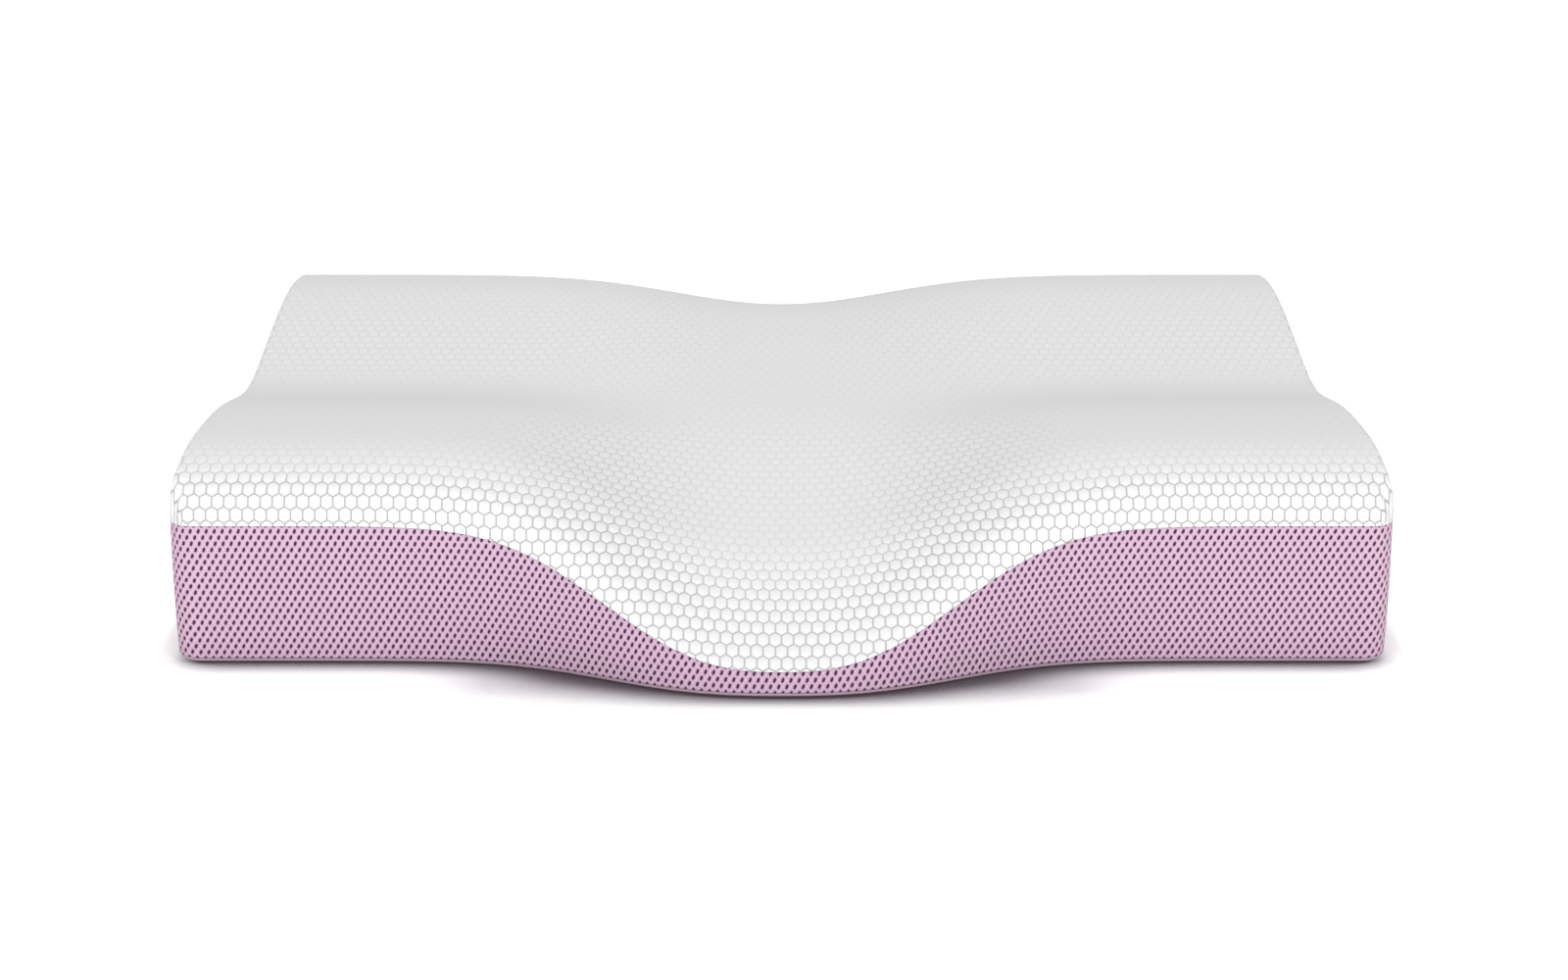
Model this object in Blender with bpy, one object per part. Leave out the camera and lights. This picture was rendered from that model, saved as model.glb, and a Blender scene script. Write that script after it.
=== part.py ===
"""A contoured pillow: one filled cushion under a knitted top panel, a mesh band sewn round its
sides and a plain base panel. Metres, +Z up, resting on z = 0, its origin under its middle.

The front roll (-Y) carries the neck and is scooped out in its middle, where its foot bows
forward. The back roll (+Y) carries the head, stands higher and dips a little in its middle.
"""

from collections import namedtuple

import bmesh
import bpy
import numpy as np

# Overall size, at the widest line of the walls
WIDTH = 0.600
DEPTH = 0.386

# Walls
CORNER_RADIUS = 0.012  # upright corners, in plan
FOOT_RADIUS = 0.0035  # where the walls turn under
SEAM_DRAW = 0.002  # how far the seam is drawn in from the widest line
SIDE_ROUND = 0.0065  # how far in from the side seam the top is still rounding over
ROUND_FULLNESS = 2.6  # 2 is an ellipse, and more is boxier

# Cloth
BASE_THICKNESS = 0.0024
BAND_THICKNESS = 0.0024
GAP = 0.0003  # between neighbouring pieces

# Finish of each piece: linear colour and roughness
WHITE_KNIT = (0.87, 0.87, 0.88), 0.85
PINK_MESH = (0.60, 0.40, 0.52), 0.80
MAUVE_CLOTH = (0.42, 0.27, 0.35), 0.85

# The hollows fade out sideways as exp(-(x / reach) ** fullness)
SCOOP_REACH, SCOOP_FULLNESS = 0.102, 2.6  # in the neck roll and its foot
DIP_REACH, DIP_FULLNESS = 0.090, 2.0  # in the head roll

# Sections from front to back, in metres. Depth is measured from the foremost point of the foot.
# flank is the form beside the scoop, middle the form at x = 0, and side_seam the height of the
# seam on the side walls. head is 1 where the hollow is the head roll's dip, 0 where the scoop.
Section = namedtuple("Section", "flank_depth flank_z middle_depth middle_z side_seam head")
SECTIONS = (
    Section(0.0425, 0.0715, 0.0020, 0.0129, 0.0715, 0.0),  # front seam
    Section(0.0465, 0.0850, 0.0120, 0.0205, 0.0713, 0.0),  # front shoulder
    Section(0.0635, 0.0967, 0.0389, 0.0384, 0.0708, 0.0),  # front brow
    Section(0.1050, 0.1020, 0.0860, 0.0555, 0.0700, 0.0),  # crest of the neck roll
    Section(0.1500, 0.0994, 0.1480, 0.0707, 0.0665, 0.1),  # behind the neck roll
    Section(0.2075, 0.0915, 0.2010, 0.0810, 0.0600, 0.5),  # valley
    Section(0.2500, 0.0998, 0.2500, 0.0872, 0.0670, 0.9),  # foot of the head roll
    Section(0.2965, 0.1118, 0.2965, 0.0935, 0.0780, 1.0),  # front of the head roll
    Section(0.3500, 0.1165, 0.3500, 0.0972, 0.0850, 1.0),  # crest of the head roll
    Section(0.3785, 0.1055, 0.3785, 0.0875, 0.0842, 1.0),  # back shoulder
    Section(0.3840, 0.0835, 0.3840, 0.0655, 0.0835, 1.0),  # back seam
)

# Mesh steps
CORNER_STEPS = 4  # along each half of an upright corner
MIDDLE_COLUMNS = 44
MIDDLE_ROWS = 25
FINE_STEPS = 2000  # for measuring along a section
BAND_LEVELS = (0.0, 0.12, 0.5, 1.0)  # share of the band's height
BASE_LEVELS = (0.0, 0.12, 0.45, 1.0)  # share of the base panel's thickness
SHARP_ANGLE = np.radians(50)  # edges sharper than this are shaded as edges


def bell(x, reach, fullness):
    """1 in the middle, falling to 0 at the flanks."""
    return np.exp(-((np.abs(x) / reach) ** fullness))


def spline(knots, values, places):
    """The natural cubic spline through values at knots, read at places along the first axis."""
    step = np.diff(knots)
    slope = np.diff(values, axis=0) / step[:, None]
    last = len(knots) - 1
    system = np.eye(last + 1)
    bend = np.zeros_like(values)
    for k in range(1, last):
        system[k, k - 1 : k + 2] = step[k - 1], 2 * (step[k - 1] + step[k]), step[k]
        bend[k] = 6 * (slope[k] - slope[k - 1])
    curve = np.linalg.solve(system, bend)
    low = np.clip(np.searchsorted(knots, places) - 1, 0, last - 1)
    width = step[low][:, None]
    after = (places - knots[low])[:, None] / width
    before = 1 - after
    bending = (before**3 - before) * curve[low] + (after**3 - after) * curve[low + 1]
    return before * values[low] + after * values[low + 1] + bending * width**2 / 6


def section_knots():
    """Distance along the flank's form from the front seam to each section."""
    flank = np.array([(s.flank_depth, s.flank_z) for s in SECTIONS])
    return np.concatenate([[0], np.cumsum(np.linalg.norm(np.diff(flank, axis=0), axis=1))])


def row_places(knots):
    """Where the rows lie along the sections: close together in the two corner blocks."""
    fine = np.linspace(0, knots[-1], FINE_STEPS)
    depths = spline(knots, np.array([[s.flank_depth] for s in SECTIONS]), fine)[:, 0]
    front_end = fine[np.argmax(depths > depths[0] + CORNER_RADIUS)]
    back_start = fine[np.argmax(depths > depths[-1] - CORNER_RADIUS)]
    front = np.linspace(0, front_end, CORNER_STEPS + 1)
    middle = np.linspace(front_end, back_start, MIDDLE_ROWS + 1)[1:-1]
    back = np.linspace(back_start, knots[-1], CORNER_STEPS + 1)
    return np.concatenate([front, middle, back])


def column_places():
    """Where the columns lie across X: close together where the top rounds over at the sides."""
    edge = WIDTH / 2 - SEAM_DRAW
    turn = np.linspace(0, np.pi / 2, CORNER_STEPS + 1)
    block = edge - CORNER_RADIUS * (1 - np.cos(turn))
    middle = np.linspace(-block[-1], block[-1], MIDDLE_COLUMNS + 1)[1:-1]
    return np.concatenate([-block, middle, block[::-1]])


def round_corner(plan, corner, along_x, along_y):
    """Turns the square block of grid points at one corner into a quarter of nested arcs.

    corner is the grid index of the outermost point, and along_x and along_y step inwards.
    """
    i0, j0 = corner
    centre = plan[i0 + along_x * CORNER_STEPS, j0 + along_y * CORNER_STEPS].copy()
    square = plan.copy()
    for k in range(CORNER_STEPS):
        steps = CORNER_STEPS - k
        reach_x = square[i0 + along_x * k, j0 + along_y * CORNER_STEPS, 0] - centre[0]
        reach_y = square[i0 + along_x * CORNER_STEPS, j0 + along_y * k, 1] - centre[1]
        for step in range(steps + 1):
            turn = np.pi / 4 * (1 - step / steps)
            on_y_run = (i0 + along_x * (k + step), j0 + along_y * k)
            on_x_run = (i0 + along_x * k, j0 + along_y * (k + step))
            plan[on_y_run] = centre + (reach_x * np.sin(turn), reach_y * np.cos(turn))
            plan[on_x_run] = centre + (reach_x * np.cos(turn), reach_y * np.sin(turn))


def top_points():
    """The top panel as a grid of points, [column, row, xyz], its border lying on the seam."""
    knots = section_knots()
    rows = row_places(knots)
    columns = column_places()
    table = np.array(SECTIONS)
    flank_depth, flank_z, middle_depth, middle_z, side_seam, head = table.T[:, :, None]
    scoop = bell(columns, SCOOP_REACH, SCOOP_FULLNESS)
    dip = bell(columns, DIP_REACH, DIP_FULLNESS)
    hollow = scoop * (1 - head) + dip * head
    depth = spline(knots, flank_depth + (middle_depth - flank_depth) * hollow, rows).T
    height = spline(knots, flank_z + (middle_z - flank_z) * hollow, rows).T
    seam = spline(knots, side_seam, rows).T
    inward = np.minimum((WIDTH / 2 - SEAM_DRAW - np.abs(columns)) / SIDE_ROUND, 1)
    rounding = ((1 - (1 - inward) ** ROUND_FULLNESS) ** (1 / ROUND_FULLNESS))[:, None]
    height = seam + (height - seam) * rounding
    plan = np.stack(np.broadcast_arrays(columns[:, None], depth - DEPTH / 2), axis=2).copy()
    last_column, last_row = len(columns) - 1, len(rows) - 1
    for corner, along_x, along_y in (
        ((0, 0), 1, 1),
        ((last_column, 0), -1, 1),
        ((last_column, last_row), -1, -1),
        ((0, last_row), 1, -1),
    ):
        round_corner(plan, corner, along_x, along_y)
    return np.dstack([plan, height])


def border(points):
    """Grid indices round the border, anticlockwise from above, from the front left corner."""
    last_column, last_row = points.shape[0] - 1, points.shape[1] - 1
    return (
        [(i, 0) for i in range(last_column)]
        + [(last_column, j) for j in range(last_row)]
        + [(i, last_row) for i in range(last_column, 0, -1)]
        + [(0, j) for j in range(last_row, 0, -1)]
    )


class Wall:
    """The walls under the seam: rings of points at any height, set in from the outer face."""

    def __init__(self, seam):
        ahead = np.roll(seam, -1, axis=0) - np.roll(seam, 1, axis=0)
        outward = np.stack([ahead[:, 1], -ahead[:, 0]], axis=1)
        self.outward = outward / np.linalg.norm(outward, axis=1)[:, None]
        self.seam = seam

    def ring(self, heights, inset=0.0):
        """Points at these heights: drawn in towards the seam, and turned under at the foot."""
        z = np.broadcast_to(heights, len(self.seam)).astype(float)
        drawn = SEAM_DRAW * (z / self.seam[:, 2]) ** 2
        under = np.maximum(FOOT_RADIUS - z, 0)
        turned = FOOT_RADIUS - np.sqrt(FOOT_RADIUS**2 - under**2)
        reach = SEAM_DRAW - drawn - turned - inset
        plan = self.seam[:, :2] + self.outward * reach[:, None]
        return np.column_stack([plan, z])


def add_ring(mesh, points):
    return [mesh.verts.new(p) for p in points]


def join_rings(mesh, upper, lower):
    """A strip of quads between two rings, facing out where the rings run anticlockwise."""
    for k in range(len(upper)):
        following = (k + 1) % len(upper)
        mesh.faces.new((upper[k], lower[k], lower[following], upper[following]))


def cushion_mesh(top, wall):
    """The filled cushion: the top panel, a ledge under its seam, and walls set in for the band."""
    mesh = bmesh.new()
    grid = [[mesh.verts.new(p) for p in column] for column in top]
    for left, right in zip(grid, grid[1:]):
        for j in range(len(left) - 1):
            mesh.faces.new((left[j], right[j], right[j + 1], left[j + 1]))
    inset = BAND_THICKNESS + GAP
    foot = BASE_THICKNESS + GAP
    seam_z = wall.seam[:, 2]
    above = [grid[i][j] for i, j in border(top)]
    for share in reversed(BAND_LEVELS):
        below = add_ring(mesh, wall.ring(foot + (seam_z - foot) * share, inset))
        join_rings(mesh, above, below)
        above = below
    mesh.faces.new(reversed(above))
    return mesh


def band_mesh(wall):
    """The side band: a closed strip of cloth round the walls, from the base to the seam."""
    mesh = bmesh.new()
    foot = BASE_THICKNESS + GAP
    top = wall.seam[:, 2] - GAP
    levels = [foot + (top - foot) * share for share in BAND_LEVELS]
    outer = [add_ring(mesh, wall.ring(z)) for z in reversed(levels)]
    inner = [add_ring(mesh, wall.ring(z, BAND_THICKNESS)) for z in levels]
    around = outer + inner
    for upper, lower in zip(around, around[1:] + around[:1]):
        join_rings(mesh, upper, lower)
    return mesh


def base_mesh(wall):
    """The base panel: a flat sheet whose edge turns up a little to meet the band."""
    mesh = bmesh.new()
    rings = [add_ring(mesh, wall.ring(BASE_THICKNESS * share)) for share in BASE_LEVELS]
    mesh.faces.new(rings[-1])
    for lower, upper in zip(rings, rings[1:]):
        join_rings(mesh, upper, lower)
    mesh.faces.new(reversed(rings[0]))
    return mesh


def material(name, finish):
    colour, roughness = finish
    made = bpy.data.materials.new(name)
    made.use_nodes = True
    shader = made.node_tree.nodes["Principled BSDF"]
    shader.inputs["Base Color"].default_value = (*colour, 1.0)
    shader.inputs["Roughness"].default_value = roughness
    shader.inputs["Metallic"].default_value = 0.0
    return made


def add_piece(name, mesh, surface):
    """One closed, smooth-shaded piece as an object of its own."""
    bmesh.ops.recalc_face_normals(mesh, faces=mesh.faces)
    data = bpy.data.meshes.new(name)
    mesh.to_mesh(data)
    mesh.free()
    data.shade_smooth()
    data.set_sharp_from_angle(angle=SHARP_ANGLE)
    data.materials.append(surface)
    piece = bpy.data.objects.new(name, data)
    bpy.context.scene.collection.objects.link(piece)


def main():
    for thing in list(bpy.data.objects):
        bpy.data.objects.remove(thing)
    top = top_points()
    seam = np.array([top[place] for place in border(top)])
    wall = Wall(seam)
    add_piece("cushion", cushion_mesh(top, wall), material("white knit", WHITE_KNIT))
    add_piece("side_band", band_mesh(wall), material("pink mesh", PINK_MESH))
    add_piece("base_panel", base_mesh(wall), material("mauve cloth", MAUVE_CLOTH))


main()
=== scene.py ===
"""Dresses the contoured pillow: a honeycomb knit laid over its cushion, an open mesh round its
sides and a plain base panel, on a pale floor in soft studio light. Metres, +Z up, front at -Y.
"""

from collections import namedtuple

import bmesh
import bpy
import numpy as np
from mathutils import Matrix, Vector


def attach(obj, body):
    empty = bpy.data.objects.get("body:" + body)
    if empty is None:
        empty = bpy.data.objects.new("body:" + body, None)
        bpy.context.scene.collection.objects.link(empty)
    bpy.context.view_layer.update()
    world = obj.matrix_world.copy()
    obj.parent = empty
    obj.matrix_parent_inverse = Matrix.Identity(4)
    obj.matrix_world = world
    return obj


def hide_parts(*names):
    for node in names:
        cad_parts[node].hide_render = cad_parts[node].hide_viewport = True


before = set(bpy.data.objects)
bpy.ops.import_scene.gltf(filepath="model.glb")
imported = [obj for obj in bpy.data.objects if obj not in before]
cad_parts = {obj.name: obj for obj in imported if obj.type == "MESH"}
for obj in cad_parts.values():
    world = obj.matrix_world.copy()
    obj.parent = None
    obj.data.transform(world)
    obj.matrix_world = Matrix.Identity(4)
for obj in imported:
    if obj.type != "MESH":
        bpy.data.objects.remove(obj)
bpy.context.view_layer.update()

# The form, as in the part
WIDTH = 0.600
DEPTH = 0.386
CORNER_RADIUS = 0.012  # upright corners, in plan
FOOT_RADIUS = 0.0035  # where the walls turn under
SEAM_DRAW = 0.002  # how far the seam is drawn in from the widest line
SIDE_ROUND = 0.0065  # how far in from the side seam the top is still rounding over
ROUND_FULLNESS = 2.6  # 2 is an ellipse, and more is boxier
BASE_THICKNESS = 0.0024
BAND_THICKNESS = 0.0024
GAP = 0.0003  # between neighbouring pieces
SCOOP_REACH, SCOOP_FULLNESS = 0.102, 2.6
DIP_REACH, DIP_FULLNESS = 0.090, 2.0

# Sections from front to back: the flank, the middle at x = 0, the seam's height on the side
# walls, and how far the hollow is the head roll's dip rather than the scoop
Section = namedtuple("Section", "flank_depth flank_z middle_depth middle_z side_seam head")
SECTIONS = (
    Section(0.0425, 0.0715, 0.0020, 0.0129, 0.0715, 0.0),  # front seam
    Section(0.0465, 0.0850, 0.0120, 0.0205, 0.0713, 0.0),  # front shoulder
    Section(0.0635, 0.0967, 0.0389, 0.0384, 0.0708, 0.0),  # front brow
    Section(0.1050, 0.1020, 0.0860, 0.0555, 0.0700, 0.0),  # crest of the neck roll
    Section(0.1500, 0.0994, 0.1480, 0.0707, 0.0665, 0.1),  # behind the neck roll
    Section(0.2075, 0.0915, 0.2010, 0.0810, 0.0600, 0.5),  # valley
    Section(0.2500, 0.0998, 0.2500, 0.0872, 0.0670, 0.9),  # foot of the head roll
    Section(0.2965, 0.1118, 0.2965, 0.0935, 0.0780, 1.0),  # front of the head roll
    Section(0.3500, 0.1165, 0.3500, 0.0972, 0.0850, 1.0),  # crest of the head roll
    Section(0.3785, 0.1055, 0.3785, 0.0875, 0.0842, 1.0),  # back shoulder
    Section(0.3840, 0.0835, 0.3840, 0.0655, 0.0835, 1.0),  # back seam
)
VALLEY = 5  # the valley's place among the sections

# Steps of the form's table
CORNER_STEPS = 24
MIDDLE_COLUMNS = 240
MIDDLE_ROWS = 300
FINE_STEPS = 4000
LOOKUP_STEP = 0.0005
LOOKUP_REACH = 0.36
CARRY_ON = 60.0  # steps that the lookup goes on past the seam
FIND_ROUNDS = 10

# Honeycomb knit: upright six-sided cells in staggered rows
CELL_PITCH = 0.00585
CELL_ROW_PITCH = 0.00623
CELL_SLANT = 0.00165  # height of the slanting sides
CELL_COLUMNS = 126
CELL_ROWS = 84
FRONT_ROWS = 42  # rows in front of the valley
GROOVE_DEPTH = 0.00040
GROOVE_WIDTH = 0.00080  # from the groove's line to the flat of the cell
CELL_CROWN = 0.00010
ROW_EASE = 1.015  # rows per pitch away from the front seam
FRONT_STRETCH, FRONT_STRETCH_REACH = 0.06, 0.041  # the knit is pulled a little at the front seam
ROW_SHIFT = 0.0346  # how much further back a row lies in the middle than on the flanks
ROW_SHIFT_REACH, ROW_SHIFT_FULLNESS = 0.1016, 3.445
FIRST_ROW = -0.0007  # moves all rows towards the back
# These also set how much of the painted shade in the grooves shows
RELIEF_TILT = 0.18  # 1 - the normal's z from which the cells stand out in full
RELIEF_LEAST = 0.08  # share of their relief on level ground

# Open mesh: slanted holes in staggered rows
HOLE_PITCH = 0.00387
HOLE_ROW_PITCH = 0.00315
HOLE_SLANT = 0.00115
HOLE_WIDTH, HOLE_HEIGHT = 0.00160, 0.00310
HOLE_SPREAD = 1.12  # widens a hole's six corners to the reach of the oval
HOLE_LEAN = 0.00038  # how far a hole's head leans to the right, and its foot to the left
HOLE_DEPTH = 0.0014
THREAD_ROUND = 0.00015  # depth at which a thread turns into its hole
# Painted highlight along the mesh's threads, strongest on those that rise to the right
THREAD_MIDDLE = 0.03  # from a thread's line to where its light starts to fade, in hole pitches
THREAD_SIDE = 0.16  # and to where it has gone
RISING_HIGHLIGHT_SHARE = 0.55  # how light the threads that rise to the right are
FALLING_HIGHLIGHT_SHARE = 0.30
SPARE_ROWS = 3  # laid above the tallest part of the band, and cut off

# Cutting and welding
PLACE_SCALE = 1000.0  # sheets are cut at millimetre size, where slack and points are well apart
CUT_SLACK = 0.00001
SEAM_NEAR = 0.001  # of a step of the form's table
WELD = 0.00004

# Finishes, in linear colour
CELL_LOW, CELL_HIGH = (0.80, 0.80, 0.80), (0.845, 0.845, 0.845)
# Painted shade in the knit's grooves: paler on gently sloping cloth, darker on upright cloth
GROOVE_SHADE_LEVEL = (0.50, 0.50, 0.50)  # a groove on gently sloping cloth
GROOVE_SHADE_UPRIGHT = (0.34, 0.34, 0.34)  # a groove on upright cloth
# The mesh's pink, darker towards its foot with painted shade near the floor
MESH_SHADED_FOOT, MESH_HEAD = (0.50, 0.335, 0.445), (0.55, 0.375, 0.49)
# Painted highlight on the mesh's threads
THREAD_HIGHLIGHT = (0.66, 0.485, 0.595)
# Painted shade in the pits of the open mesh
PIT_SHADE_COLOUR = (0.085, 0.028, 0.075)
LINING_LOW, LINING_HIGH = (0.45, 0.42, 0.45), (0.55, 0.52, 0.55)
MAUVE_LOW, MAUVE_HIGH = (0.58, 0.43, 0.53), (0.68, 0.52, 0.61)
KNIT_STITCH, MESH_STITCH, LINING_STITCH, MAUVE_STITCH = 0.00075, 0.0005, 0.0012, 0.0007

# Floor and its contact shadow
FLOOR_REACH = 12.0
FLOOR_COLOUR, SHADOW_COLOUR = (0.98, 0.98, 0.98), (0.06, 0.045, 0.055)
FLOOR_GLOW = 0.50
CLOSE_SHADOW = 0.024  # reach of the shadow all round the foot
BOW_SHADOW = 0.060  # reach of the wider one under the bow
BOW_NEAR, BOW_FAR = 0.08, 0.20  # from the middle to where the wider shadow starts to fade and ends
ENDS_NEAR, ENDS_FAR = 0.286, 0.306  # from the middle to where the close shadow thins at the ends
ENDS_SHARE = 0.65  # how much of it goes there
SHADOW_SAMPLES = 8

# Light and camera
SKY_STRENGTH = 0.77
SKY_SIDE = (0.35, 0.35, 0.35)  # the sky far to the left and right
SOFTBOX_SIZE = (2.4, 1.6)
SOFTBOX_TARGET = (0.0, 0.0, 0.05)
FRONT_PLACE, FRONT_POWER = (0.0, -3.0, 1.15), 54.0
BACK_PLACE, BACK_POWER = (0.0, 2.4, 2.1), 10.0
CAMERA_PLACE = (0.0, -1.1325, 0.4476)
CAMERA_TILT = 70.0  # degrees up from straight down
CAMERA_SHIFT = 0.0016
SENSOR_WIDTH, LENS = 36.0, 50.0  # in millimetres, as cameras are marked


def bell(x, reach, fullness):
    """1 in the middle, falling to 0 at the flanks."""
    return np.exp(-((np.abs(x) / reach) ** fullness))


def spline(knots, values, places):
    """The natural cubic spline through values at knots, read at places along the first axis."""
    step = np.diff(knots)
    slope = np.diff(values, axis=0) / step[:, None]
    last = len(knots) - 1
    system = np.eye(last + 1)
    bend = np.zeros_like(values)
    for k in range(1, last):
        system[k, k - 1 : k + 2] = step[k - 1], 2 * (step[k - 1] + step[k]), step[k]
        bend[k] = 6 * (slope[k] - slope[k - 1])
    curve = np.linalg.solve(system, bend)
    low = np.clip(np.searchsorted(knots, places) - 1, 0, last - 1)
    width = step[low][:, None]
    after = (places - knots[low])[:, None] / width
    before = 1 - after
    bending = (before**3 - before) * curve[low] + (after**3 - after) * curve[low + 1]
    return before * values[low] + after * values[low + 1] + bending * width**2 / 6


def section_knots():
    """Distance along the flank's form from the front seam to each section."""
    flank = np.array([(s.flank_depth, s.flank_z) for s in SECTIONS])
    return np.concatenate([[0], np.cumsum(np.linalg.norm(np.diff(flank, axis=0), axis=1))])


def row_places(knots):
    """Where the rows lie along the sections: close together in the two corner blocks."""
    fine = np.linspace(0, knots[-1], FINE_STEPS)
    depths = spline(knots, np.array([[s.flank_depth] for s in SECTIONS]), fine)[:, 0]
    front_end = fine[np.argmax(depths > depths[0] + CORNER_RADIUS)]
    back_start = fine[np.argmax(depths > depths[-1] - CORNER_RADIUS)]
    front = np.linspace(0, front_end, CORNER_STEPS + 1)
    middle = np.linspace(front_end, back_start, MIDDLE_ROWS + 1)[1:-1]
    back = np.linspace(back_start, knots[-1], CORNER_STEPS + 1)
    return np.concatenate([front, middle, back])


def column_places():
    """Where the columns lie across X: close together where the top rounds over at the sides."""
    edge = WIDTH / 2 - SEAM_DRAW
    turn = np.linspace(0, np.pi / 2, CORNER_STEPS + 1)
    block = edge - CORNER_RADIUS * (1 - np.cos(turn))
    middle = np.linspace(-block[-1], block[-1], MIDDLE_COLUMNS + 1)[1:-1]
    return np.concatenate([-block, middle, block[::-1]])


def round_corner(plan, corner, along_x, along_y):
    """Turns the square block of grid points at one corner into a quarter of nested arcs.

    corner is the grid index of the outermost point, and along_x and along_y step inwards.
    """
    i0, j0 = corner
    centre = plan[i0 + along_x * CORNER_STEPS, j0 + along_y * CORNER_STEPS].copy()
    square = plan.copy()
    for k in range(CORNER_STEPS):
        steps = CORNER_STEPS - k
        reach_x = square[i0 + along_x * k, j0 + along_y * CORNER_STEPS, 0] - centre[0]
        reach_y = square[i0 + along_x * CORNER_STEPS, j0 + along_y * k, 1] - centre[1]
        for step in range(steps + 1):
            turn = np.pi / 4 * (1 - step / steps)
            on_y_run = (i0 + along_x * (k + step), j0 + along_y * k)
            on_x_run = (i0 + along_x * k, j0 + along_y * (k + step))
            plan[on_y_run] = centre + (reach_x * np.sin(turn), reach_y * np.cos(turn))
            plan[on_x_run] = centre + (reach_x * np.cos(turn), reach_y * np.sin(turn))


def top_points():
    """The top panel as a grid of points, [column, row, xyz], its border lying on the seam."""
    knots = section_knots()
    rows = row_places(knots)
    columns = column_places()
    table = np.array(SECTIONS)
    flank_depth, flank_z, middle_depth, middle_z, side_seam, head = table.T[:, :, None]
    scoop = bell(columns, SCOOP_REACH, SCOOP_FULLNESS)
    dip = bell(columns, DIP_REACH, DIP_FULLNESS)
    hollow = scoop * (1 - head) + dip * head
    depth = spline(knots, flank_depth + (middle_depth - flank_depth) * hollow, rows).T
    height = spline(knots, flank_z + (middle_z - flank_z) * hollow, rows).T
    seam = spline(knots, side_seam, rows).T
    inward = np.minimum((WIDTH / 2 - SEAM_DRAW - np.abs(columns)) / SIDE_ROUND, 1)
    rounding = ((1 - (1 - inward) ** ROUND_FULLNESS) ** (1 / ROUND_FULLNESS))[:, None]
    height = seam + (height - seam) * rounding
    plan = np.stack(np.broadcast_arrays(columns[:, None], depth - DEPTH / 2), axis=2).copy()
    last_column, last_row = len(columns) - 1, len(rows) - 1
    for corner, along_x, along_y in (
        ((0, 0), 1, 1),
        ((last_column, 0), -1, 1),
        ((last_column, last_row), -1, -1),
        ((0, last_row), 1, -1),
    ):
        round_corner(plan, corner, along_x, along_y)
    return np.dstack([plan, height])


def border(points):
    """The form's border points, anticlockwise from above, from the front left corner."""
    return np.concatenate([points[:-1, 0], points[-1, :-1], points[:0:-1, -1], points[0, :0:-1]])


def read(grid, i, j):
    """A grid's values at fractional columns i and rows j."""
    low_i = np.clip(i.astype(int), 0, grid.shape[0] - 2)
    low_j = np.clip(j.astype(int), 0, grid.shape[1] - 2)
    part_i = (i - low_i).reshape(i.shape + (1,) * (grid.ndim - 2))
    part_j = (j - low_j).reshape(i.shape + (1,) * (grid.ndim - 2))
    near = grid[low_i, low_j] * (1 - part_j) + grid[low_i, low_j + 1] * part_j
    far = grid[low_i + 1, low_j] * (1 - part_j) + grid[low_i + 1, low_j + 1] * part_j
    return near * (1 - part_i) + far * part_i


class Form:
    """The top panel's face, read at cloth coordinates: u across and v from front to back."""

    def __init__(self, points):
        self.points = points
        self.normals = np.cross(np.gradient(points, axis=0), np.gradient(points, axis=1))
        self.normals /= np.maximum(np.linalg.norm(self.normals, axis=2), 1e-12)[..., None]
        columns = column_places()
        self.across = self.measure_across(columns)
        self.along = self.measure_along(columns)
        self.samples = np.arange(-LOOKUP_REACH, LOOKUP_REACH, LOOKUP_STEP)
        every_column, across = self.carry_on(self.across.T)
        every_row, along = self.carry_on(self.along)
        self.row_of = np.array([np.interp(self.samples, v, every_row) for v in along])
        self.column_of = np.array([np.interp(self.samples, u, every_column) for u in across])

    @staticmethod
    def carry_on(lines):
        """Places along each line and its values, both carried straight on past its two ends."""
        first, last = lines[:, 0], lines[:, -1]
        before = first - CARRY_ON * (lines[:, 1] - first)
        after = last + CARRY_ON * (last - lines[:, -2])
        places = np.arange(lines.shape[1], dtype=float)
        places = np.concatenate([[-CARRY_ON], places, [places[-1] + CARRY_ON]])
        return places, np.column_stack([before, lines, after])

    def measure_across(self, columns):
        """x itself over the middle, and the distance over the rounding at the two sides."""
        across = np.repeat(columns[:, None], self.points.shape[1], axis=1)
        step = np.linalg.norm(np.diff(self.points, axis=0), axis=2)
        for k in range(CORNER_STEPS, 0, -1):
            across[k - 1] = across[k] - step[k - 1]
            across[-k] = across[-k - 1] + step[-k]
        return across

    def measure_along(self, columns):
        """Distance over the form from the valley, the rows bowing back through the scoop."""
        step = np.linalg.norm(np.diff(self.points, axis=1), axis=2)
        run = np.concatenate([np.zeros((len(columns), 1)), np.cumsum(step, axis=1)], axis=1)
        knots = section_knots()
        valley = np.argmin(np.abs(row_places(knots) - knots[VALLEY]))
        shift = ROW_SHIFT * bell(columns, ROW_SHIFT_REACH, ROW_SHIFT_FULLNESS)[:, None]
        pulled = FRONT_STRETCH * np.maximum(FRONT_STRETCH_REACH - run, 0)
        return (run - run[:, valley : valley + 1]) * ROW_EASE + pulled - shift

    def find(self, u, v):
        """Fractional column and row of each cloth point, past the last ones outside the seam."""
        j = np.full_like(u, self.points.shape[1] / 2)
        last_i, last_j = self.points.shape[0] - 1, self.points.shape[1] - 1
        for _ in range(FIND_ROUNDS):
            i = read(self.column_of, np.clip(j, 0, last_j), (u + LOOKUP_REACH) / LOOKUP_STEP)
            j = read(self.row_of, np.clip(i, 0, last_i), (v + LOOKUP_REACH) / LOOKUP_STEP)
        return i, j


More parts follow.
